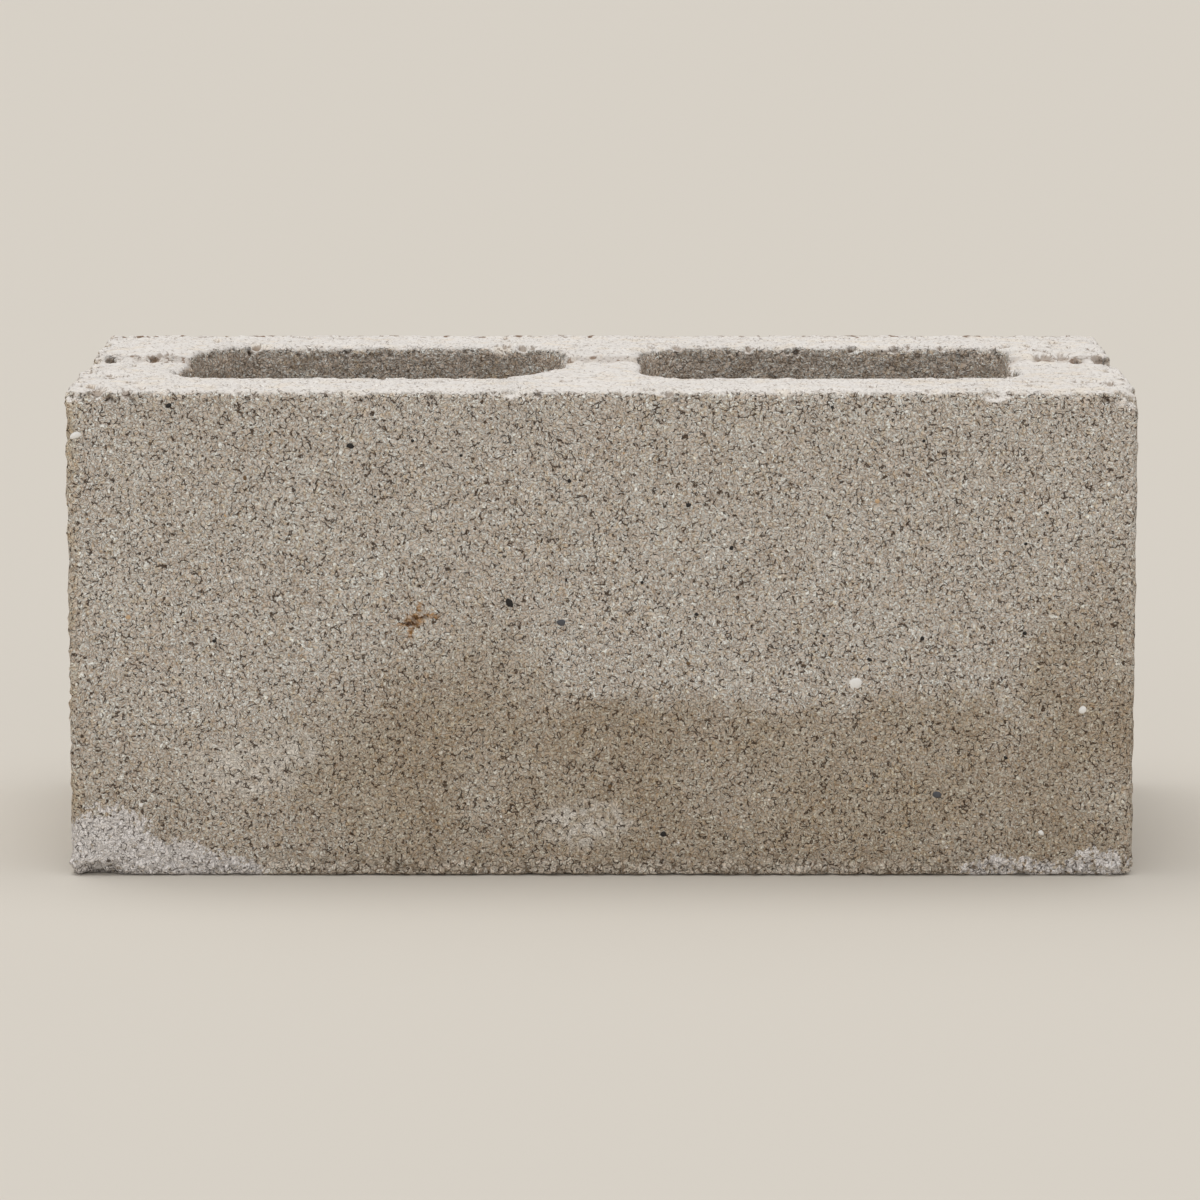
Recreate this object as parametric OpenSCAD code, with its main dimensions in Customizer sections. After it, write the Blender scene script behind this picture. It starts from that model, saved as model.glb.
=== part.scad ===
// Two-core hollow concrete block, standing on its bed as it is laid in a wall.
// X runs along the wall, Y through it and Z up. The origin is under the middle of
// the block, on the surface that it stands on. Lengths are in millimetres.

/* [Block] */
// Length along the wall
block_length = 397; // [300:1:500]
// Depth through the wall, from face to face
block_depth = 194; // [150:1:300]
// Height of one course
block_height = 183; // [90:1:250]
// Rounding of the four upright corners of the block
corner_radius = 3; // [2:0.5:8]
// Bevel on the arrises of the top and bottom beds and on the core mouths
arris_bevel = 1.5; // [0.5:0.25:1.75]

/* [Walls] */
// Face shell thickness at the top bed, the same front and back
shell_thickness = 42; // [20:0.5:50]
// End web thickness at the top bed
end_web = 36.5; // [20:0.5:50]
// Centre web thickness at the top bed
centre_web = 31; // [20:0.5:50]

/* [Cores] */
// Rounding of a core's upright corners at the top bed
core_radius = 20; // [5:1:30]
// How far each side of a core leans outwards from the top bed to the bottom bed
core_draft = 3; // [0.5:0.5:6]

/* [Core bar trace] */
// Width of the shallow trace that the mould's core bar leaves across the webs
trace_width = 42; // [10:1:60]
// Depth of the trace below the top bed
trace_depth = 3; // [1:0.5:6]

/* [Hidden] */
$fn = 96;
// How far a cut runs past the face that it opens
overcut = 1;
// Thickness that any wall keeps beside a corner rounding
least_flat = 2;

// Size of one core's mouth, below its bevel
core_length = (block_length - centre_web) / 2 - end_web;
core_depth = block_depth - 2 * shell_thickness;
// Distance from the middle of the block to the middle of a core
core_offset = (centre_web + core_length) / 2;
// The corner rounding, held to what the core's shorter side can carry
mouth_radius = min(core_radius, min(core_length, core_depth) / 2 - least_flat);

// Radius of a core's corners at height z
function core_radius_at(z) = mouth_radius + core_draft * (1 - z / block_height);

// A rounded rectangle whose sides lean out as its corner radius grows from low_radius
// to high_radius. span_x and span_y are the distances between its corner centres.
module leaning_block(span_x, span_y, low_radius, high_radius, height) {
    for (x = [-1, 1], y = [-1, 1])
        translate([x * span_x / 2, y * span_y / 2, 0])
            cylinder(h = height, r1 = low_radius, r2 = high_radius);
    rotate([90, 0, 0])
        leaning_slab(span_x / 2, span_y, low_radius, high_radius, height);
    rotate([90, 0, 90])
        leaning_slab(span_y / 2, span_x, low_radius, high_radius, height);
}

// A bar of trapezium section, reach past the middle plus the radius at each side
module leaning_slab(reach, length, low_radius, high_radius, height) {
    linear_extrude(length, center = true)
        polygon([
            [-reach - low_radius, 0],
            [reach + low_radius, 0],
            [reach + high_radius, height],
            [-reach - high_radius, height]
        ]);
}

// The outer form: upright sides, with a bevelled arris round each bed
module outer_form() {
    span_x = block_length - 2 * corner_radius;
    span_y = block_depth - 2 * corner_radius;
    bevelled_radius = corner_radius - arris_bevel;
    leaning_block(span_x, span_y, bevelled_radius, corner_radius, arris_bevel);
    translate([0, 0, arris_bevel])
        leaning_block(span_x, span_y, corner_radius, corner_radius, block_height - 2 * arris_bevel);
    translate([0, 0, block_height - arris_bevel])
        leaning_block(span_x, span_y, corner_radius, bevelled_radius, arris_bevel);
}

// One core: it widens towards the bottom bed, so that the mould's core could be drawn out,
// and is bevelled at both mouths
module core() {
    span_x = core_length - 2 * mouth_radius;
    span_y = core_depth - 2 * mouth_radius;
    flare = arris_bevel + overcut;
    low_radius = core_radius_at(arris_bevel);
    high_radius = core_radius_at(block_height - arris_bevel);
    translate([0, 0, -overcut])
        leaning_block(span_x, span_y, low_radius + flare, low_radius, flare);
    translate([0, 0, arris_bevel])
        leaning_block(span_x, span_y, low_radius, high_radius, block_height - 2 * arris_bevel);
    translate([0, 0, block_height - arris_bevel])
        leaning_block(span_x, span_y, high_radius, high_radius + flare, flare);
}

// The trace of the core bar: a shallow channel along the block, across all three webs
module core_bar_trace() {
    translate([
        -block_length / 2 - overcut,
        -trace_width / 2,
        block_height - trace_depth
    ])
        cube([block_length + 2 * overcut, trace_width, trace_depth + overcut]);
}

// The block is pressed and cured as one piece
module block() {
    color("#99948a")
        difference() {
            outer_form();
            for (side = [-1, 1])
                translate([side * core_offset, 0, 0])
                    core();
            core_bar_trace();
        }
}

block();
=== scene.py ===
"""A weathered two-core concrete block, standing on its bed on a pale floor.

One closed mesh stands for the cast block. It is made from the frame's own solid: remeshed
finely, worn along its arrises, roughened by a relief that the shader shares, and thinned
to its triangle budget. Small stones that show at the surface are a second, joined mesh.
Lengths inside the node formulas are in millimetres; objects are in metres.
"""

import math

import bmesh
import bpy
import numpy as np
from mathutils import Matrix, Vector


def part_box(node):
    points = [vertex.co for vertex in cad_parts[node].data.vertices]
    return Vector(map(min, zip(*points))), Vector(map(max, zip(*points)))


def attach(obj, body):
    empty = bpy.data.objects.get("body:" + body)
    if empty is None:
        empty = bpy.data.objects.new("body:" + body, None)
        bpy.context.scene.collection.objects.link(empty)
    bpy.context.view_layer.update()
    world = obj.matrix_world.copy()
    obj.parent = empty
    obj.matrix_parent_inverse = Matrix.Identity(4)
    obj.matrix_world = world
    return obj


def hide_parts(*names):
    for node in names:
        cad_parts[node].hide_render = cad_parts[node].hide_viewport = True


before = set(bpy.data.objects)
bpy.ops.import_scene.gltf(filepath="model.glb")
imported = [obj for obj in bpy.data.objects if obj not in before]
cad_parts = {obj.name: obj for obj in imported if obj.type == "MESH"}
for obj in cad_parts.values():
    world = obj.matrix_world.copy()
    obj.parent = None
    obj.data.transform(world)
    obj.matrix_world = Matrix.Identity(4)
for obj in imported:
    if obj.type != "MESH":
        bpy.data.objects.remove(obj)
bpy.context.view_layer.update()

MM = 0.001
LOW, HIGH = (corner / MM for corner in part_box("block"))
LENGTH, DEPTH, HEIGHT = HIGH - LOW
LEFT, FRONT, RIGHT, BACK = LOW.x, LOW.y, HIGH.x, HIGH.y

# The mesh: the fine grid it is carved on, and the triangles that it keeps
GRID_STEP = 1.2
TRIANGLES = 196_000
# Smoothing passes that turn a sharp arris into a fully worn one
WEAR_PASSES = 28

# Rear wall of the shallow trace that the core bar left along the bed
TRACE_WALL_Y = 21.0

# The cores lie wholly within these distances of the block's middle, give or take CORE_FADE
CORES_WITHIN_X = 170.0
CORES_WITHIN_Y = 60.0
CORE_FADE = 2.0

# Size of the concrete's grains, and how far the bump makes them stand out
GRAIN = 2.3
GRAIN_BUMP = 0.6


# ---------------------------------------------------------------- node formulas


class Formula:
    """Adds nodes to one tree, shader or geometry, so that they read as a formula."""

    def __init__(self, tree):
        self.tree = tree

    def node(self, kind, inputs=None, **settings):
        """One node with its settings made and its named inputs set or linked."""
        node = self.tree.nodes.new(kind)
        for name, value in settings.items():
            setattr(node, name, value)
        for name, value in (inputs or {}).items():
            self.feed(node.inputs[name], value)
        return node

    def feed(self, socket, value):
        """A socket takes either another node's output or a constant."""
        if isinstance(value, bpy.types.NodeSocket):
            self.tree.links.new(value, socket)
        else:
            socket.default_value = value

    def math(self, operation, *values):
        node = self.node("ShaderNodeMath", operation=operation)
        for socket, value in zip(node.inputs, values):
            self.feed(socket, value)
        return node.outputs[0]

    def add(self, *values):
        total = values[0]
        for value in values[1:]:
            total = self.math("ADD", total, value)
        return total

    def sub(self, a, b):
        return self.math("SUBTRACT", a, b)

    def mul(self, *values):
        product = values[0]
        for value in values[1:]:
            product = self.math("MULTIPLY", product, value)
        return product

    def largest(self, *values):
        result = values[0]
        for value in values[1:]:
            result = self.math("MAXIMUM", result, value)
        return result

    def vector(self, operation, *values):
        node = self.node("ShaderNodeVectorMath", operation=operation)
        for socket, value in zip(node.inputs, values):
            self.feed(socket, value)
        return node.outputs["Value" if operation == "LENGTH" else "Vector"]

    def scaled(self, vector, factor):
        node = self.node("ShaderNodeVectorMath", {"Scale": factor}, operation="SCALE")
        self.feed(node.inputs[0], vector)
        return node.outputs["Vector"]

    def split(self, vector):
        return self.node("ShaderNodeSeparateXYZ", {"Vector": vector}).outputs

    def ramp(self, value, low, high, start=0.0, end=1.0):
        """A smooth step from start at low to end at high, flat outside them."""
        inputs = {"Value": value, "From Min": low, "From Max": high, "To Min": start, "To Max": end}
        node = self.node("ShaderNodeMapRange", inputs, interpolation_type="SMOOTHSTEP")
        return node.outputs["Result"]

    def noise(self, place, size, detail=2.0, roughness=0.5, output="Fac"):
        """Noise whose lumps are about size across, from 0 to 1 around 0.5."""
        inputs = {"Vector": place, "Scale": 1.0 / size, "Detail": detail, "Roughness": roughness}
        return self.node("ShaderNodeTexNoise", inputs).outputs[output]

    def swing(self, place, size, reach, detail=2.0):
        """Noise centred on zero, from about -reach to reach."""
        return self.mul(self.sub(self.noise(place, size, detail), 0.5), 4.0 * reach)

    def cells(self, place, size, feature="F1", output="Distance", smooth=None):
        """Cells about size across; distances come back in millimetres."""
        inputs = {"Vector": place, "Scale": 1.0 / size}
        if smooth is not None:
            inputs["Smoothness"] = smooth
        node = self.node("ShaderNodeTexVoronoi", inputs, feature=feature)
        if output != "Distance":
            return node.outputs[output]
        return self.mul(node.outputs["Distance"], size)

    def warp(self, place, size, reach):
        """The place pushed about by up to reach, in lumps about size across."""
        colour = self.noise(place, size, 1.0, output="Color")
        push = self.scaled(self.vector("SUBTRACT", colour, (0.5, 0.5, 0.5)), 2.0 * reach)
        return self.vector("ADD", place, push)

    def curve(self, value, low, high, points, top):
        """A curve through given points: points are (value, result), and results run from 0 to top.
        """
        node = self.node("ShaderNodeFloatCurve")
        line = node.mapping.curves[0]
        placed = [((x - low) / (high - low), y / top) for x, y in points]
        line.points[0].location = placed[0]
        line.points[1].location = placed[-1]
        for x, y in placed[1:-1]:
            line.points.new(x, y)
        node.mapping.update()
        self.feed(node.inputs["Value"], self.math("DIVIDE", self.sub(value, low), high - low))
        return self.mul(node.outputs[0], top)

    def blob(self, place, centre, radii):
        """How far inside an ellipsoid a place is: 1 at its centre, 0 on its skin, then negative."""
        away = self.vector("DIVIDE", self.vector("SUBTRACT", place, centre), radii)
        return self.sub(1.0, self.vector("LENGTH", away))

    def mix(self, factor, under, over, blend="MIX"):
        """One colour laid over another."""
        node = self.node("ShaderNodeMix", data_type="RGBA", blend_type=blend)
        self.feed(node.inputs["Factor"], factor)
        for socket, value in zip((node.inputs[6], node.inputs[7]), (under, over)):
            if isinstance(value, tuple) and len(value) == 3:
                value = (*value, 1.0)
            self.feed(socket, value)
        return node.outputs[2]

    def shade(self, colour, factor):
        """A colour made lighter or darker by a factor."""
        return self.scaled(colour, factor)


# ---------------------------------------------------------------- what geometry and shader share


def pits(f, place):
    """Air holes left open at the surface: 0 on sound concrete, 1 in a hole's middle."""
    spread = f.warp(place, 1.4, 0.8)
    reach = f.ramp(f.noise(place, 17.0, 1.0), 0.5, 0.78, 0.0, 1.7)
    return f.ramp(f.sub(reach, f.cells(spread, 11.0)), 0.0, 0.5)


def wide_bed_pits(f, place):
    """Patches of the bed where the mould's head tore the mix away."""
    reach = f.ramp(f.noise(place, 34.0, 1.0), 0.46, 0.66, 0.3, 3.4)
    return f.ramp(f.sub(reach, f.cells(f.warp(place, 4.0, 2.4), 13.0)), 0.0, 1.2)


def small_bed_pits(f, place):
    """Ragged little holes, drawn out across the bed, and more of them at its ends and back."""
    drawn_out = f.vector("MULTIPLY", f.warp(place, 1.8, 1.3), (1.0, 0.5, 1.0))
    x, y = (f.split(place)[axis] for axis in "XY")
    ends = f.ramp(f.math("ABSOLUTE", x), 148.0, 180.0, 0.0, 0.85)
    behind = f.ramp(y, 56.0, 80.0, 0.0, 0.45)
    usual = f.ramp(f.noise(place, 15.0, 2.0), 0.44, 0.64, 0.2, 1.9)
    reach = f.add(usual, f.largest(ends, behind))
    return f.ramp(f.sub(reach, f.cells(drawn_out, 4.6)), 0.0, 0.7, 0.0, 0.8)


def bed_pits(f, place):
    """The holes of the top bed: 0 on sound concrete, up to 1 in a hole's middle."""
    holes = f.largest(wide_bed_pits(f, place), small_bed_pits(f, place))
    return f.mul(holes, f.ramp(f.split(place)["Z"], HEIGHT - 6.0, HEIGHT - 3.0))


def trace_wall(f, place):
    """The rear wall of the core bar's trace, where bare grit shows: 0 or up to 1."""
    along = f.math("ABSOLUTE", f.sub(f.split(place)["Y"], TRACE_WALL_Y))
    ragged = f.add(along, f.swing(place, 3.0, 0.9))
    bare = f.ramp(f.noise(place, 8.0, 2.0), 0.40, 0.52, 0.15, 1.0)
    on_bed = f.ramp(f.split(place)["Z"], HEIGHT - 6.0, HEIGHT - 4.5)
    return f.mul(f.ramp(ragged, 1.0, 2.6, 1.0, 0.0), bare, on_bed)


def in_core(f, place):
    """1 on the walls of the two cores, 0 on the outer faces and the bed."""
    x, y, z = (f.math("ABSOLUTE", f.split(place)[axis]) for axis in "XYZ")
    across = f.ramp(y, CORES_WITHIN_Y - CORE_FADE, CORES_WITHIN_Y + CORE_FADE, 1.0, 0.0)
    along = f.ramp(x, CORES_WITHIN_X - CORE_FADE, CORES_WITHIN_X + CORE_FADE, 1.0, 0.0)
    return f.mul(across, along, f.ramp(z, HEIGHT - 4.0, HEIGHT - 2.0, 1.0, 0.0))


# ---------------------------------------------------------------- the block's mesh

# Damage that the noise doesn't place: centre, radii, and how many times the usual wear
CHIPS = (
    ((RIGHT, FRONT, HEIGHT), (12.0, 14.0, 10.0), 1.6),
    ((LEFT, FRONT, HEIGHT), (7.0, 7.0, 5.0), 0.8),
    ((LEFT, FRONT, 166.0), (4.0, 5.0, 4.0), 1.2),
    ((LEFT + 11.0, FRONT, 0.0), (9.0, 7.0, 6.0), 2.4),
    ((146.0, FRONT, HEIGHT), (7.0, 5.0, 5.0), 1.3),
    ((-33.0, FRONT, HEIGHT), (5.0, 4.0, 4.0), 1.0),
    ((RIGHT, 12.0, HEIGHT), (8.0, 7.0, 6.0), 1.8),
    ((LEFT, 60.0, HEIGHT), (5.0, 9.0, 5.0), 1.2),
    ((LEFT, -20.0, HEIGHT), (5.0, 8.0, 5.0), 1.2),
    ((RIGHT, 66.0, HEIGHT), (6.0, 8.0, 5.0), 1.4),
    ((-60.0, BACK, HEIGHT), (10.0, 5.0, 5.0), 1.1),
    ((RIGHT, BACK, 0.0), (10.0, 10.0, 8.0), 1.8),
)


def wear(f, place):
    """How worn an arris is at a place: 0 as moulded, 1 fully rounded, more where chipped."""
    height = f.split(place)["Z"]
    usual = f.ramp(f.noise(place, 9.0, 3.0, 0.6), 0.38, 0.72, 0.12, 1.0)
    usual = f.mul(usual, f.ramp(height, 0.0, 8.0, 0.5, 1.0))
    crumbled = f.mul(f.ramp(height, 3.0, 12.0, 1.0, 0.0), f.ramp(f.noise(place, 5.0), 0.50, 0.70))
    total = f.add(usual, f.mul(crumbled, 0.35))
    for centre, radii, extra in CHIPS:
        ragged = f.add(f.blob(place, centre, radii), f.swing(place, 4.0, 0.2))
        total = f.add(total, f.ramp(ragged, 0.0, 0.5, 0.0, extra))
    return total


# Places where the fresh mix slumped at a core's mouth: centre, radii and push
SLUMPS = (
    ((-15.5, -58.0, HEIGHT), (30.0, 56.0, 46.0), (-13.0, 0.0, 0.0)),
    ((164.0, -4.0, HEIGHT), (30.0, 84.0, 36.0), (-6.0, 0.0, 0.0)),
    ((-162.0, 50.0, HEIGHT), (26.0, 60.0, 34.0), (5.0, 0.0, 0.0)),
)


def slumps(f, place):
    """How far the slumped mix has moved, as a vector in millimetres."""
    total = (0.0, 0.0, 0.0)
    for centre, radii, push in SLUMPS:
        strength = f.ramp(f.blob(place, centre, radii), 0.0, 1.0)
        total = f.vector("ADD", f.scaled(push, strength), total)
    return total


# The lumpy lime crust at the foot of the left arris: centre and radii
CRUST = ((-184.0, FRONT, 2.0), (42.0, 20.0, 24.0))

# How deep the holes go, in millimetres
AIR_HOLE_DEPTH = 1.1
BED_PIT_DEPTH = 2.4
GRIT_DEPTH = 0.7


def knobs(f, place):
    """Lumps of coarse mix: bold along the foot, less so on the left arris and under the crust."""
    x, height = (f.split(place)[axis] for axis in "XZ")
    foot = f.ramp(height, 4.0, 9.0, 1.0, 0.0)
    left_arris = f.ramp(x, LEFT + 1.0, LEFT + 5.0, 1.0, 0.0)
    crust = f.ramp(f.blob(place, *CRUST), 0.0, 0.3)
    lumps = f.sub(1.55, f.cells(f.warp(place, 3.0, 0.6), 3.6, "SMOOTH_F1", smooth=0.25))
    bold = f.add(0.16, f.largest(foot, f.mul(left_arris, 0.45), f.mul(crust, 0.45)))
    return f.mul(lumps, bold)


def relief(f, place):
    """Height of the surface over the moulded shape, in millimetres."""
    core_swell = f.mul(in_core(f, place), f.swing(place, 7.0, 0.7, 2.0))
    swell = f.add(f.swing(place, 14.0, 0.16, 3.0), core_swell)
    rough = f.swing(place, 3.2, 0.22, 2.0)
    holes = f.add(
        f.mul(pits(f, place), AIR_HOLE_DEPTH),
        f.mul(bed_pits(f, place), BED_PIT_DEPTH),
        f.mul(trace_wall(f, place), GRIT_DEPTH),
    )
    rise = f.sub(f.add(swell, rough, knobs(f, place)), holes)
    off_the_floor = f.ramp(f.split(place)["Z"], 0.2, 2.2, 0.1, 1.0)
    return f.mul(rise, off_the_floor)


def enabled(sockets, name):
    """The socket of this name that the node's data type leaves in use."""
    return next(socket for socket in sockets if socket.name == name and socket.enabled)


def relief_nodes():
    """Geometry nodes that wear the arrises, keep the worn place for the shader, and add relief."""
    tree = bpy.data.node_groups.new("cast_relief", "GeometryNodeTree")
    tree.interface.new_socket("Geometry", in_out="INPUT", socket_type="NodeSocketGeometry")
    tree.interface.new_socket("Geometry", in_out="OUTPUT", socket_type="NodeSocketGeometry")
    f = Formula(tree)
    start = f.node("NodeGroupInput").outputs[0]
    metres = f.node("GeometryNodeInputPosition").outputs[0]
    place = f.scaled(metres, 1.0 / MM)

    soft = f.node("GeometryNodeBlurAttribute", data_type="FLOAT_VECTOR")
    f.feed(enabled(soft.inputs, "Value"), metres)
    soft.inputs["Iterations"].default_value = WEAR_PASSES
    drawn_in = f.vector("SUBTRACT", enabled(soft.outputs, "Value"), metres)
    offset = f.scaled(drawn_in, wear(f, place))
    worn = f.node("GeometryNodeSetPosition", {"Geometry": start, "Offset": offset})

    kept = f.node("GeometryNodeStoreNamedAttribute", {"Geometry": worn.outputs[0], "Name": "rest"},
                  data_type="FLOAT_VECTOR", domain="POINT")
    f.feed(enabled(kept.inputs, "Value"), f.node("GeometryNodeInputPosition").outputs[0])

    outwards = f.node("GeometryNodeInputNormal").outputs[0]
    raised_by = f.scaled(outwards, f.mul(relief(f, place), MM))
    offset = f.vector("ADD", raised_by, f.scaled(slumps(f, place), MM))
    raised = f.node("GeometryNodeSetPosition", {"Geometry": kept.outputs[0], "Offset": offset})
    f.node("NodeGroupOutput", {"Geometry": raised.outputs[0]})
    return tree


def applied(piece):
    """The piece with its modifiers made part of its mesh."""
    bpy.context.view_layer.update()
    evaluated = piece.evaluated_get(bpy.context.evaluated_depsgraph_get())
    mesh = bpy.data.meshes.new_from_object(evaluated)
    piece.modifiers.clear()
    piece.data = mesh
    return piece


def new_object(name, data):
    """An object placed in the scene: a mesh, a light or the camera."""
    made = bpy.data.objects.new(name, data)
    bpy.context.scene.collection.objects.link(made)
    return made


# How much of its detail each part of the surface keeps when the mesh is thinned
KEPT_INSIDE = 0.0
KEPT_ON_SIDES = 0.25
KEPT_ON_FRONT = 0.6
KEPT_ON_BED = 0.7
KEPT_ON_ARRISES = 1.0


def keep_detail_where_it_shows(piece):
    """A vertex group for the thinning, from each place's distance to the faces."""
    mesh = piece.data
    places = np.empty(len(mesh.vertices) * 3, np.float32)
    mesh.vertices.foreach_get("co", places)
    places = places.reshape(-1, 3) / MM
    off_side = np.minimum(RIGHT - abs(places[:, 0]), BACK - abs(places[:, 1]))
    off_bed = np.minimum(places[:, 2], HEIGHT - places[:, 2])
    on_front = places[:, 1] < FRONT + 3.0
    on_top = places[:, 2] > HEIGHT - 12.0
    weight = np.full(len(places), KEPT_ON_SIDES)
    weight[(off_side > 12.0) & ~on_top] = KEPT_INSIDE
    weight[on_front] = KEPT_ON_FRONT
    weight[on_top] = KEPT_ON_BED
    weight[(off_side < 3.0) & (off_bed < 6.0)] = KEPT_ON_ARRISES
    group = piece.vertex_groups.new(name="detail")
    for value in np.unique(weight):
        group.add(np.flatnonzero(weight == value).tolist(), float(value), "REPLACE")


def make_block():
    """The cast block as one closed mesh, within its triangle budget."""
    piece = new_object("concrete_block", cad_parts["block"].data.copy())
    grid = piece.modifiers.new("grid", "REMESH")
    grid.mode = "VOXEL"
    grid.voxel_size = GRID_STEP * MM
    piece.modifiers.new("relief", "NODES").node_group = relief_nodes()
    applied(piece)
    keep_detail_where_it_shows(piece)
    thin = piece.modifiers.new("thin", "DECIMATE")
    thin.ratio = TRIANGLES / (2 * len(piece.data.polygons))
    thin.use_collapse_triangulate = True
    thin.vertex_group = "detail"
    thin.vertex_group_factor = 1.0
    thin.invert_vertex_group = True
    applied(piece)
    piece.vertex_groups.clear()
    piece.data.shade_smooth()
    piece.data.materials.clear()
    piece.data.materials.append(concrete_material())
    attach(piece, "root")
    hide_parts("block")
    return piece


# ---------------------------------------------------------------- the concrete's finish

# The colours are linear, and several are multiplied over the paste
PASTE = (0.755, 0.69, 0.602)
# The paste's hue turns with its tone, which carries painted light and shade: brown in the painted
# shade between the grains, pale and cool in the painted light on their crests
BETWEEN_GRAINS = (1.03, 0.90, 0.82)
ON_GRAINS = (0.97, 1.06, 1.15)
TAN = (1.0, 0.90, 0.74)
SPECK = (0.93, 0.88, 0.81)
PALE = (0.93, 0.865, 0.78)
DUST = (0.795, 0.755, 0.715)
LIME = (0.89, 0.845, 0.82)
DAMP = (0.745, 0.685, 0.60)
RUST = (0.50, 0.250, 0.075)
RUST_HEART = (0.070, 0.030, 0.013)
# Painted shade for the gaps between grains and for the holes: brown on the dusty bed, near-black
# elsewhere
BED_GAP_AND_HOLE_SHADE = (0.20, 0.125, 0.070)
GAP_AND_HOLE_SHADE = (0.072, 0.040, 0.021)
DIRT = (0.190, 0.105, 0.052)


# The damp, along the block: the height that it has risen to, how far its edge fades out,
# and its strength, each as (x, value)
DAMP_HEIGHTS = (
    (-200, 46), (-125, 50), (-100, 62), (-62, 85), (-28, 84), (-12, 69),
    (10, 65), (100, 66), (148, 68), (166, 96), (200, 106),
)
DAMP_FADES = ((-200, 30), (-30, 26), (-5, 7), (138, 7), (156, 26), (200, 34))
DAMP_STRENGTHS = ((-200, 0.45), (-130, 0.55), (-100, 0.95), (200, 1.0))


def along_block(f, place, points, top):
    """A curve over the block's length, through listed points."""
    return f.curve(f.split(place)["X"], -200.0, 200.0, points, top)


def damp(f, place):
    """How damp-stained the concrete is."""
    edge = f.add(
        along_block(f, place, DAMP_HEIGHTS, 120.0),
        f.swing(place, 38.0, 6.0),
        f.swing(place, 8.0, 4.0),
    )
    below = f.sub(edge, f.split(place)["Z"])
    fade = along_block(f, place, DAMP_FADES, 34.0)
    body = f.ramp(f.math("DIVIDE", below, fade), -1.0, 1.0)
    patchy = f.ramp(f.noise(place, 30.0, 3.0, 0.6), 0.3, 0.62, 0.6, 1.0)
    return f.mul(body, patchy, along_block(f, place, DAMP_STRENGTHS, 1.0))


# Lime that has bloomed at the surface: centre, radii and strength
BLOOMS = (
    ((-184.0, FRONT, 9.0), (19.0, 20.0, 16.0), 1.0),
    ((-166.0, FRONT, 5.0), (26.0, 16.0, 10.0), 1.0),
    ((-141.0, FRONT, 1.0), (16.0, 14.0, 7.0), 0.9),
    ((156.0, FRONT, 1.5), (22.0, 14.0, 6.0), 0.66),
    ((184.0, FRONT, 3.0), (13.0, 14.0, 7.0), 0.8),
    ((-96.0, BACK, 6.0), (46.0, 20.0, 14.0), 0.8),
    ((120.0, BACK, 44.0), (26.0, 12.0, 16.0), 0.5),
    ((RIGHT, 40.0, 8.0), (14.0, 34.0, 14.0), 0.8),
)


def bloom(f, place):
    """Where lime crust covers the surface: whole where it is thick, in flecks where it is thin."""
    thick = 0.0
    broken = f.swing(place, 12.0, 0.30, 3.0)
    for centre, radii, strength in BLOOMS:
        inside = f.add(f.blob(place, centre, radii), broken)
        thick = f.largest(thick, f.mul(f.ramp(inside, -0.15, 0.22), strength))
    flecks = f.ramp(f.noise(place, 2.2, 2.0, 0.6), 0.30, 0.66)
    return f.ramp(f.add(thick, flecks), 0.92, 1.22)


# Paler mortar smeared over the face in loose strokes: centre, radii and strength
SMEARS = (
    ((-132.0, FRONT, 41.0), (28.0, 12.0, 15.0), 0.8),
    ((-116.0, FRONT, 48.0), (18.0, 10.0, 10.0), 0.75),
    ((-6.0, FRONT, 20.0), (24.0, 12.0, 12.0), 0.9),
)


def smears(f, place):
    """How much the paler strokes cover the surface."""
    total = 0.0
    for centre, radii, strength in SMEARS:
        total = f.largest(total, f.ramp(f.blob(place, centre, radii), 0.0, 0.6, 0.0, strength))
    strokes = f.ramp(f.noise(f.warp(place, 7.0, 4.0), 4.2, 1.0), 0.42, 0.60, 0.15, 1.0)
    return f.mul(total, strokes)


# Rust bled from a scrap of iron: its heart and its arms, each a centre and radii
RUST_HEARTS = (
    ((-69.8, FRONT, 96.8), (2.0, 4.0, 2.2)),
    ((-72.6, FRONT, 95.4), (2.6, 4.0, 1.1)),
    ((-66.6, FRONT, 97.9), (3.2, 4.0, 0.9)),
)
RUST_ARMS = (
    ((-69.6, FRONT, 97.0), (5.0, 4.0, 3.8)),
    ((-63.8, FRONT, 98.4), (5.0, 4.0, 1.5)),
    ((-74.4, FRONT, 94.8), (4.0, 4.0, 1.6)),
    ((-71.0, FRONT, 92.6), (1.5, 4.0, 3.4)),
    ((-67.6, FRONT, 101.2), (1.5, 4.0, 3.2)),
)


def rust(f, colour, place):
    """A rust spot: a dark heart with ragged orange arms."""
    bent = f.warp(place, 1.8, 1.5)
    broken = f.ramp(f.noise(place, 1.3, 2.0), 0.36, 0.58, 0.45, 1.0)
    for blobs, tint, edge in ((RUST_ARMS, RUST, 0.7), (RUST_HEARTS, RUST_HEART, 0.5)):
        cover = 0.0
        for centre, radii in blobs:
            cover = f.largest(cover, f.ramp(f.blob(bent, centre, radii), 0.0, edge, 0.0, 0.92))
        colour = f.mix(f.mul(cover, broken), colour, tint)
    return colour


def crease(f, place, size, width):
    """Thin wandering lines, 1 along them and 0 between them, with loops about size across."""
    return f.ramp(f.math("ABSOLUTE", f.sub(f.noise(place, size, 0.0), 0.5)), 0.0, width, 1.0, 0.0)


def gap_shade_masks(f, place, edge):
    """The painted shade of the gaps: (thin seams at the grains' edges, both seams and small open
    holes).
    """
    seam = f.mul(f.ramp(edge, 0.06, 0.20, 1.0, 0.0), f.ramp(f.noise(place, 1.3, 0.0), 0.56, 0.62))
    chosen = f.ramp(f.split(f.cells(place, 2.4, output="Color"))["Y"], 0.62, 0.66)
    hole = f.ramp(f.cells(f.warp(place, 0.9, 0.6), 2.4), 0.28, 0.46, 1.0, 0.0)
    return seam, f.largest(seam, f.mul(hole, chosen))


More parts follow.
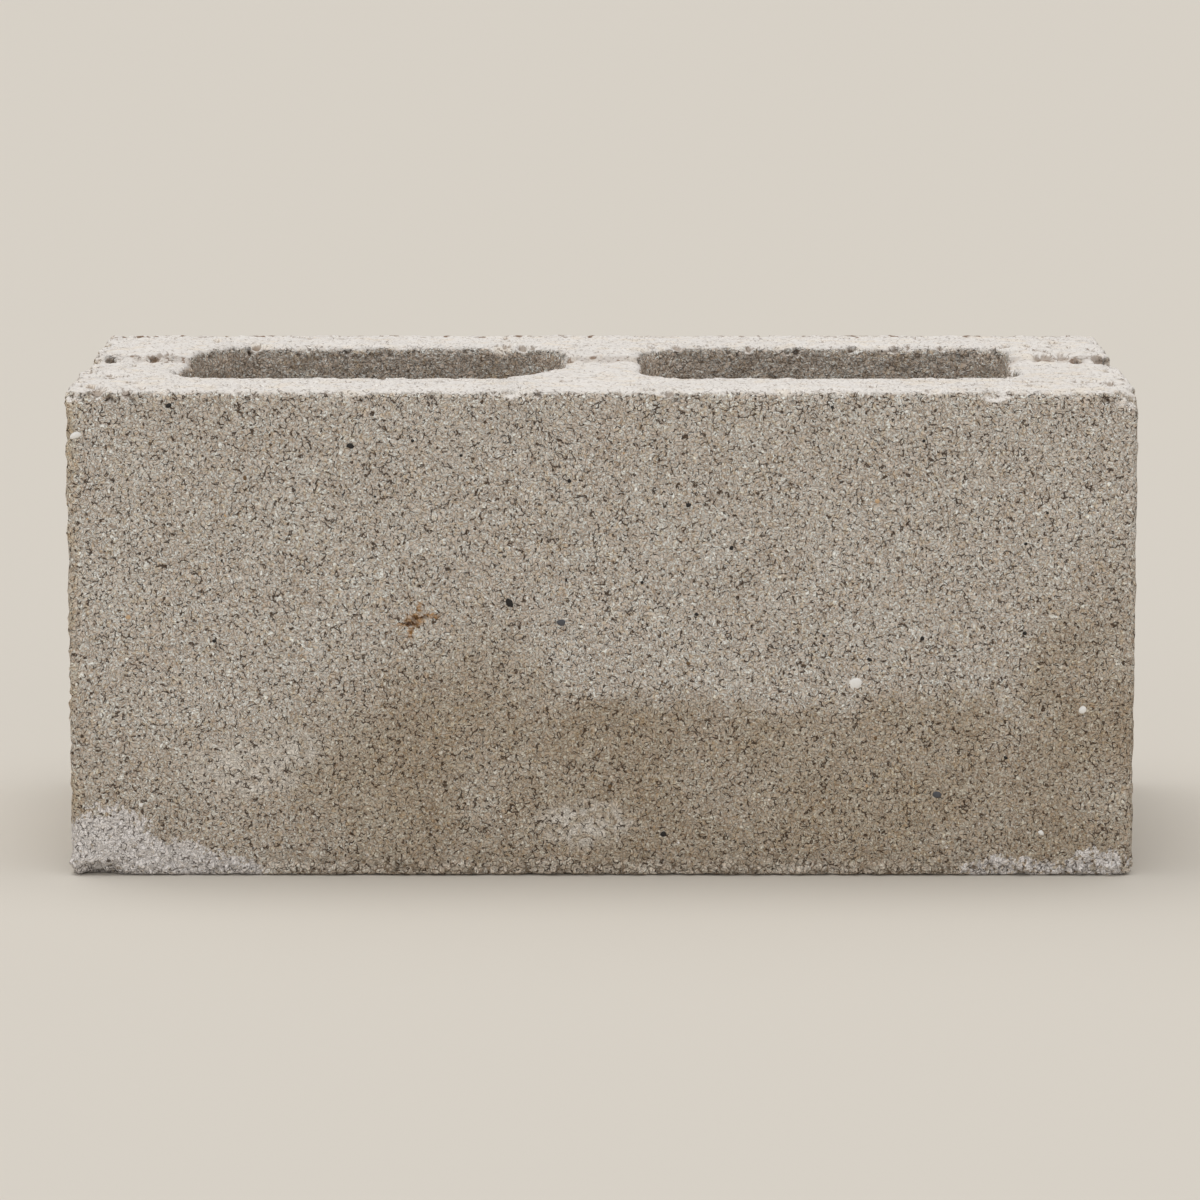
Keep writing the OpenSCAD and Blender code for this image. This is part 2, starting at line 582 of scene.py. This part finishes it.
def grain(f, place):
    """The open texture: (painted shade in the gaps between grains, grain tone with painted light on
    the crests and painted shade in the dark strokes, bump height).
    """
    bent = f.warp(place, 1.6, 0.7)
    edge = f.cells(bent, GRAIN, "DISTANCE_TO_EDGE")
    seam, gap_shade = gap_shade_masks(f, place, edge)
    bright = crease(f, bent, 1.35, 0.10)
    dark = crease(f, f.vector("ADD", bent, (7.0, 3.0, 5.0)), 1.25, 0.08)
    tint = f.split(f.cells(bent, GRAIN, output="Color"))["X"]
    patches = f.ramp(f.noise(place, 2.0, 1.0), 0.52, 0.62)
    sparkle = f.mul(f.ramp(f.cells(place, 1.1), 0.14, 0.34, 1.0, 0.0), patches)
    # Painted light and shade: the crease lines on the bump's crests are painted lighter and those
    # in its troughs darker; the cells' tint is the grains' own tone
    tone_and_painted_relief = f.add(
        0.315,
        f.mul(bright, 0.60),
        f.mul(dark, -0.40),
        f.mul(tint, 0.14),
        f.mul(sparkle, 0.6),
    )
    domes = f.add(f.mul(bright, 0.6), f.mul(dark, -0.6), f.ramp(edge, 0.0, 0.7, 0.0, 0.5))
    return gap_shade, tone_and_painted_relief, f.sub(domes, f.mul(seam, 0.8))


def bare_concrete(f, place, tone_and_painted_relief, sand, mottle, inner):
    """The paste and its grains: lighter and darker by tone and by the painted light and shade that
    it carries, with painted shade in the cores, tan in patches, and damp.
    """
    light = f.add(
        0.46,
        f.mul(tone_and_painted_relief, 0.80),
        f.mul(sand, 0.34),
        f.mul(f.sub(mottle, 0.5), 0.22),
        # Painted shade: the cores' walls are made darker, with streaks
        f.mul(inner, f.sub(f.swing(place, 4.5, 0.12, 3.0), 0.14)),
    )
    hue = f.mix(f.ramp(light, 0.60, 1.35), BETWEEN_GRAINS, ON_GRAINS)
    colour = f.mix(1.0, f.shade(PASTE, light), hue, "MULTIPLY")
    tan_grains = f.ramp(f.noise(place, 1.6, 2.0), 0.52, 0.68)
    tan_patches = f.ramp(f.noise(place, 12.0), 0.35, 0.6, 0.25, 0.7)
    colour = f.mix(f.mul(tan_grains, tan_patches), colour, TAN, "MULTIPLY")
    return f.mix(damp(f, place), colour, DAMP, "MULTIPLY")


def end_wall_light_and_browned_arris(f, place, colour, normal, inner, mottle):
    """Painted light makes the cores' end walls paler near their mouths, and the left arris is
    browned.
    """
    x, height = (f.split(place)[axis] for axis in "XZ")
    faces_along = f.ramp(f.math("ABSOLUTE", normal["X"]), 0.25, 0.75)
    near_mouth = f.ramp(height, HEIGHT - 26.0, HEIGHT - 5.0)
    painted_light_on_end_walls = f.mul(faces_along, inner, near_mouth)
    # Painted light: walls that face along the block are made up to 0.42 brighter near the cores'
    # mouths
    colour = f.shade(colour, f.add(1.0, f.mul(painted_light_on_end_walls, 0.42)))
    left_arris = f.ramp(x, LEFT + 1.0, LEFT + 6.0, 0.75, 0.0)
    return f.mix(f.mul(left_arris, f.ramp(mottle, 0.35, 0.55)), colour, TAN, "MULTIPLY")


def specks(f, place, colour):
    """Pale specks of crushed stone in some of the cells."""
    chosen = f.ramp(f.split(f.cells(place, 3.0, output="Color"))["X"], 0.66, 0.72)
    speck = f.mul(f.ramp(f.cells(place, 3.0), 0.32, 0.58, 1.0, 0.0), chosen)
    return f.mix(f.mul(speck, 0.8), colour, SPECK)


def crumbs_lime_and_painted_foot_shading(f, place, colour, gap_shade, tone_and_painted_relief, sand):
    """The crumbs and the painted light of the paler foot, the smears and the lime, with the painted
    shade of the gaps between grains and of the crevices between lumps over them.
    """
    foot = f.ramp(f.add(f.split(place)["Z"], f.swing(place, 7.0, 3.0)), 3.0, 9.0, 1.0, 0.0)
    to_edge = f.cells(f.warp(place, 3.0, 1.2), 3.4, "DISTANCE_TO_EDGE")
    crevice = f.ramp(to_edge, 0.05, 0.36, 1.0, 0.0)
    colour = f.mix(f.mul(foot, f.ramp(crevice, 0.0, 1.0, 0.28, 0.0)), colour, SPECK)
    colour = f.mix(smears(f, place), colour, PALE)
    # Painted light: the whole foot is made a fifth paler
    colour = f.shade(colour, f.add(1.0, f.mul(foot, 0.20)))
    lime = bloom(f, place)
    crust = f.shade(LIME, f.add(0.86, f.mul(tone_and_painted_relief, 0.38), f.mul(sand, 0.20)))
    colour = f.mix(f.mul(lime, 0.95), colour, crust)
    # Painted shade: the crevices between the lumps at the foot and in the lime join the gaps
    gap_shade = f.largest(gap_shade, f.mul(f.largest(foot, f.mul(lime, 0.45)), crevice, 0.62))
    colour = f.mix(f.mul(gap_shade, f.sub(0.92, f.mul(lime, 0.15))), colour, GAP_AND_HOLE_SHADE)
    return colour, gap_shade


def bed_cover(f, place, normal):
    """(Where the bed faces up, where dust lies: there and on the lip of its arrises.)"""
    height = f.split(place)["Z"]
    up = f.mul(f.ramp(normal["Z"], 0.30, 0.75), f.ramp(height, HEIGHT - 9.0, HEIGHT - 5.0))
    lip = f.ramp(f.add(height, f.swing(place, 3.0, 0.8)), HEIGHT - 2.1, HEIGHT - 0.8)
    return up, f.largest(up, f.mul(lip, 0.9))


def dust(f, place, colour, dusty, gap_shade, sand, mottle):
    """A film of pale dust, warmer in patches, with painted shade in the gaps under it."""
    film = f.ramp(f.noise(place, 5.0, 3.0, 0.65), 0.34, 0.54, 0.55, 1.0)
    bed = f.shade(DUST, f.add(0.84, f.mul(sand, 0.16), f.mul(mottle, 0.14)))
    warm = f.mul(f.ramp(f.noise(place, 9.0, 1.0), 0.54, 0.70), 0.35)
    bed = f.mix(warm, bed, TAN, "MULTIPLY")
    # Painted shade in the gaps between grains
    bed = f.mix(f.mul(gap_shade, 0.5), bed, BED_GAP_AND_HOLE_SHADE)
    return f.mix(f.mul(dusty, film), colour, bed)


def dirt(f, place, colour, dusty):
    """Brown crumbs of dirt on the bed's back arris and on the rear wall of the trace."""
    crumb = f.ramp(f.noise(f.vector("MULTIPLY", place, (1.0, 0.6, 1.0)), 3.6, 2.0), 0.54, 0.60)
    ragged = f.add(f.split(place)["Y"], f.swing(place, 6.0, 5.0))
    back_arris = f.mul(f.ramp(ragged, BACK - 12.0, BACK - 7.0), crumb)
    on_wall = f.mul(trace_wall(f, place), f.add(0.25, f.mul(crumb, 0.65)))
    cover = f.mul(f.largest(back_arris, on_wall), dusty)
    return f.mix(f.mul(cover, 0.9), colour, DIRT)


def new_material(name):
    """An empty material, and the formula that fills it."""
    material = bpy.data.materials.new(name)
    material.use_nodes = True
    material.node_tree.nodes.clear()
    return material, Formula(material.node_tree)


def concrete_material():
    """Open-textured block concrete with dust on its bed, damp, lime bloom and a rust spot."""
    material, f = new_material("concrete")
    rest = f.node("ShaderNodeAttribute", attribute_name="rest").outputs["Vector"]
    place = f.scaled(rest, 1.0 / MM)
    normal = f.split(f.node("ShaderNodeNewGeometry").outputs["Normal"])

    inner = in_core(f, place)
    gap_shade, tone_and_painted_relief, grain_height = grain(f, place)
    gap_shade = f.mul(gap_shade, f.sub(1.0, f.mul(inner, 0.45)))
    sand = f.noise(place, 0.55, 1.0)
    mottle = f.noise(place, 22.0, 3.0, 0.6)
    hole = f.largest(pits(f, place), bed_pits(f, place))

    colour = bare_concrete(f, place, tone_and_painted_relief, sand, mottle, inner)
    colour = end_wall_light_and_browned_arris(f, place, colour, normal, inner, mottle)
    colour = specks(f, place, colour)
    colour, gap_shade = crumbs_lime_and_painted_foot_shading(f, place, colour, gap_shade, tone_and_painted_relief, sand)
    up, dusty = bed_cover(f, place, normal)
    colour = dust(f, place, colour, dusty, gap_shade, sand, mottle)
    colour = dirt(f, place, colour, dusty)
    # Painted shade in the air holes and the bed's pits: brown on the dusty bed, near-black
    # elsewhere
    hole_shade = f.mix(dusty, GAP_AND_HOLE_SHADE, BED_GAP_AND_HOLE_SHADE)
    colour = f.mix(f.mul(hole, f.sub(0.85, f.mul(up, 0.1))), colour, hole_shade)
    colour = rust(f, colour, place)

    rough = f.mul(grain_height, f.sub(1.0, f.mul(up, 0.75)))
    bump = f.node("ShaderNodeBump", {
        "Strength": 1.0, "Distance": GRAIN_BUMP * MM, "Height": rough,
    })
    surface = f.node("ShaderNodeBsdfPrincipled", {
        "Base Color": colour, "Roughness": 0.93, "IOR": 1.45,
        "Specular IOR Level": 0.25, "Normal": bump.outputs[0],
    })
    f.node("ShaderNodeOutputMaterial", {"Surface": surface.outputs[0]})
    return material


# ---------------------------------------------------------------- stones at the surface

# Near-black: dark stones, and painted shade where stones stand in for dark air holes
DARK_STONE_AND_PIT_SHADE = (0.030, 0.027, 0.025)
SLATE = (0.100, 0.102, 0.112)
BROWN = (0.170, 0.105, 0.055)
BUFF = (0.620, 0.430, 0.260)
CHALK = (0.900, 0.880, 0.850)

# The larger stones on the front: place along and up, half sizes, tilt in degrees, and colour. The
# near-black ones are partly dark stones and partly painted shade, standing where air holes show
# dark
FRONT_STONES = (
    ((-93.0, 162.0), (1.5, 1.1), -15.0, DARK_STONE_AND_PIT_SHADE),
    ((-70.0, 164.0), (0.7, 0.7), 0.0, DARK_STONE_AND_PIT_SHADE),
    ((-52.0, 158.5), (0.7, 0.6), 0.0, DARK_STONE_AND_PIT_SHADE),
    ((-34.3, 103.3), (1.3, 2.0), 28.0, DARK_STONE_AND_PIT_SHADE),
    ((-144.0, 89.0), (1.0, 0.8), 0.0, DARK_STONE_AND_PIT_SHADE),
    ((-160.0, 177.0), (1.2, 0.9), 20.0, DARK_STONE_AND_PIT_SHADE),
    ((-132.0, 150.0), (0.8, 1.2), 15.0, BROWN),
    ((-12.0, 149.0), (0.8, 0.8), 0.0, DARK_STONE_AND_PIT_SHADE),
    ((15.0, 111.0), (0.9, 0.8), 0.0, DARK_STONE_AND_PIT_SHADE),
    ((35.0, 99.0), (0.9, 0.7), 0.0, DARK_STONE_AND_PIT_SHADE),
    ((32.0, 140.0), (1.1, 0.9), 10.0, DARK_STONE_AND_PIT_SHADE),
    ((48.0, 124.0), (1.0, 0.9), 0.0, DARK_STONE_AND_PIT_SHADE),
    ((32.0, 80.5), (0.9, 0.8), 0.0, BROWN),
    ((23.0, 16.0), (1.35, 1.35), 0.0, DARK_STONE_AND_PIT_SHADE),
    ((3.0, 34.0), (0.8, 0.8), 0.0, BROWN),
    ((82.5, 91.0), (0.9, 0.6), -20.0, DARK_STONE_AND_PIT_SHADE),
    ((99.5, 82.0), (1.1, 0.8), -10.0, DARK_STONE_AND_PIT_SHADE),
    ((119.0, 164.0), (0.8, 0.8), 0.0, DARK_STONE_AND_PIT_SHADE),
    ((157.0, 92.0), (1.0, 0.8), 0.0, DARK_STONE_AND_PIT_SHADE),
    ((119.0, 90.0), (0.9, 1.0), 0.0, DARK_STONE_AND_PIT_SHADE),
    ((157.0, 125.5), (0.8, 0.8), 0.0, DARK_STONE_AND_PIT_SHADE),
    ((165.0, 137.0), (0.8, 0.7), 0.0, DARK_STONE_AND_PIT_SHADE),
    ((150.5, 45.0), (1.0, 0.8), -30.0, DARK_STONE_AND_PIT_SHADE),
    ((102.0, 52.5), (0.8, 0.8), 0.0, BROWN),
    ((-15.0, 96.0), (1.9, 1.4), 10.0, SLATE),
    ((125.0, 31.0), (1.8, 1.45), 0.0, SLATE),
    ((94.0, 73.0), (2.9, 2.5), 0.0, CHALK),
    ((179.0, 63.0), (1.9, 1.5), 35.0, CHALK),
    ((164.0, 16.5), (1.4, 1.0), -25.0, CHALK),
    ((-172.0, 27.0), (1.0, 0.8), 0.0, CHALK),
    ((-194.5, 166.0), (2.4, 1.2), 20.0, CHALK),
    ((102.0, 141.5), (1.2, 0.9), 0.0, BUFF),
    ((-176.0, 98.0), (1.3, 0.9), 10.0, BUFF),
)

# Small stones are scattered: face, how many, and the least and greatest half size
SCATTER_SEED = 7
SCATTERED = (
    ("front", 90, (0.35, 0.75)),
    ("back", 130, (0.4, 1.8)),
    ("left", 60, (0.4, 1.5)),
    ("right", 60, (0.4, 1.5)),
)
# Each colour, and how often it turns up among the small stones
SMALL_COLOURS = ((CHALK, 0.34), (DARK_STONE_AND_PIT_SHADE, 0.30), (BROWN, 0.16), (BUFF, 0.14), (SLATE, 0.06))
# How far the small stones keep from a face's edges
SCATTER_MARGIN = 6.0
# How far a stone stands out of the face, half its depth, and how uneven it is
STANDS_OUT = 0.45
HALF_DEPTH_OF_STONE = 0.9
UNEVENNESS = 0.14


def face_frame(name):
    """A face's origin, its two axes and its outward direction, in millimetres."""
    up = Vector((0.0, 0.0, 1.0))
    return {
        "front": (Vector((0.0, FRONT, 0.0)), Vector((1.0, 0.0, 0.0)), up, Vector((0.0, -1.0, 0.0))),
        "back": (Vector((0.0, BACK, 0.0)), Vector((-1.0, 0.0, 0.0)), up, Vector((0.0, 1.0, 0.0))),
        "left": (Vector((LEFT, 0.0, 0.0)), Vector((0.0, -1.0, 0.0)), up, Vector((-1.0, 0.0, 0.0))),
        "right": (Vector((RIGHT, 0.0, 0.0)), Vector((0.0, 1.0, 0.0)), up, Vector((1.0, 0.0, 0.0))),
    }[name]


def scattered_stones(dice):
    """The small stones as (face, place, half sizes, tilt, colour)."""
    stones = []
    colours = [colour for colour, _ in SMALL_COLOURS]
    shares = [share for _, share in SMALL_COLOURS]
    for face, count, (least, greatest) in SCATTERED:
        reach = (LENGTH if face in ("front", "back") else DEPTH) / 2 - SCATTER_MARGIN
        for _ in range(count):
            up = (SCATTER_MARGIN, HEIGHT - SCATTER_MARGIN)
            place = (dice.uniform(-reach, reach), dice.uniform(*up))
            across = least + (greatest - least) * dice.random() ** 3
            along = across * dice.uniform(0.6, 1.0)
            tilt = dice.uniform(0.0, 180.0)
            colour = colours[dice.choice(len(colours), p=shares)]
            stones.append((face, place, (across, along), tilt, colour))
    return stones


def unit_ball():
    """A small ball's corners and triangles."""
    ball = bmesh.new()
    bmesh.ops.create_icosphere(ball, subdivisions=2, radius=1.0)
    corners = [Vector(v.co) for v in ball.verts]
    triangles = [[v.index for v in face.verts] for face in ball.faces]
    ball.free()
    return corners, triangles


def stone_corners(ball, stone, wave):
    """One stone's corners: an uneven ball, flattened, turned, and sunk into its face."""
    face, (along, up), (half_along, half_up), tilt, _ = stone
    origin, side, rise, out = face_frame(face)
    centre = origin + side * along + rise * up + out * (STANDS_OUT - HALF_DEPTH_OF_STONE)
    turn = Matrix.Rotation(math.radians(tilt), 3, out)
    corners = []
    for point in ball:
        uneven = 1.0 + UNEVENNESS * math.sin(2.2 * wave.dot(point) + wave.x)
        local = side * (point.x * half_along) + rise * (point.y * half_up)
        corner = centre + turn @ (local * uneven) + out * (point.z * HALF_DEPTH_OF_STONE)
        corners.append(corner * MM)
    return corners


def make_stones():
    """All the stones as one joined mesh, each with its own colour."""
    dice = np.random.default_rng(SCATTER_SEED)
    ball, triangles = unit_ball()
    corners, faces, tints = [], [], []
    for stone in [("front", *stone) for stone in FRONT_STONES] + scattered_stones(dice):
        wave = Vector(dice.uniform(-2.0, 2.0, 3).tolist())
        start = len(corners)
        corners += stone_corners(ball, stone, wave)
        faces += [[start + index for index in triangle] for triangle in triangles]
        tints += [(*stone[-1], 1.0)] * len(ball)
    mesh = bpy.data.meshes.new("stones")
    mesh.from_pydata(corners, [], faces)
    tint = mesh.color_attributes.new("tint", "FLOAT_COLOR", "POINT")
    tint.data.foreach_set("color", np.array(tints, np.float32).ravel())
    mesh.materials.append(stone_material())
    mesh.shade_smooth()
    piece = new_object("stones", mesh)
    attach(piece, "root")
    return piece


def stone_material():
    """Small stones: each takes its colour from its own vertices."""
    material, f = new_material("stone")
    tint = f.node("ShaderNodeVertexColor", layer_name="tint").outputs["Color"]
    surface = f.node("ShaderNodeBsdfPrincipled", {
        "Base Color": tint, "Roughness": 0.85, "IOR": 1.45, "Specular IOR Level": 0.3,
    })
    f.node("ShaderNodeOutputMaterial", {"Surface": surface.outputs[0]})
    return material


# ---------------------------------------------------------------- studio

CAMERA_AT = (0.0029, -2.1477, 0.4201)
CAMERA_PITCH = 8.75
CAMERA_YAW = 0.1
CAMERA_LENS = 167.74
SENSOR_WIDTH = 36.0
SEES_AS_FAR_AS = 100.0
FLOOR_SIZE = 60.0
FLOOR_COLOUR = (0.64, 0.60, 0.54)
WORLD_COLOUR = (1.0, 0.985, 0.96)
WORLD_STRENGTH = 0.36


def add_camera():
    data = bpy.data.cameras.new("camera")
    data.sensor_width = SENSOR_WIDTH
    data.lens = CAMERA_LENS
    data.clip_end = SEES_AS_FAR_AS
    camera = new_object("camera", data)
    camera.location = CAMERA_AT
    camera.rotation_euler = (math.radians(90.0 - CAMERA_PITCH), 0.0, math.radians(CAMERA_YAW))
    bpy.context.scene.camera = camera


def add_floor():
    mesh = bpy.data.meshes.new("floor")
    reach = FLOOR_SIZE / 2
    corners = [(-reach, -reach, 0), (reach, -reach, 0), (reach, reach, 0), (-reach, reach, 0)]
    mesh.from_pydata(corners, [], [(0, 1, 2, 3)])
    floor = new_object("floor", mesh)
    material = bpy.data.materials.new("floor")
    material.use_nodes = True
    shader = material.node_tree.nodes["Principled BSDF"]
    shader.inputs["Base Color"].default_value = (*FLOOR_COLOUR, 1.0)
    shader.inputs["Roughness"].default_value = 1.0
    shader.inputs["Specular IOR Level"].default_value = 0.0
    mesh.materials.append(material)


# Wide, soft suns, so that the floor is lit alike near and far: direction that the light
# comes from, and its share of the light
SUNS = {
    "overhead": ((0.0, 0.0, 1.0), 0.52),
    "behind_left": ((-0.4, 0.35, 0.85), 0.14),
    "front_fill": ((0.0, -0.94, 0.34), 0.19),
}
SUN_SPREAD = 50.0


def add_sun(name, comes_from, share):
    data = bpy.data.lights.new(name, "SUN")
    data.angle = math.radians(SUN_SPREAD)
    data.energy = share * math.pi
    light = new_object(name, data)
    light.rotation_euler = Vector(comes_from).to_track_quat("Z", "Y").to_euler()


def add_studio():
    scene = bpy.context.scene
    world = bpy.data.worlds.new("studio")
    scene.world = world
    world.use_nodes = True
    background = world.node_tree.nodes["Background"]
    background.inputs["Color"].default_value = (*WORLD_COLOUR, 1.0)
    background.inputs["Strength"].default_value = WORLD_STRENGTH
    scene.view_settings.view_transform = "Standard"
    add_floor()
    for name, (comes_from, share) in SUNS.items():
        add_sun(name, comes_from, share)


add_camera()
add_studio()
make_block()
make_stones()
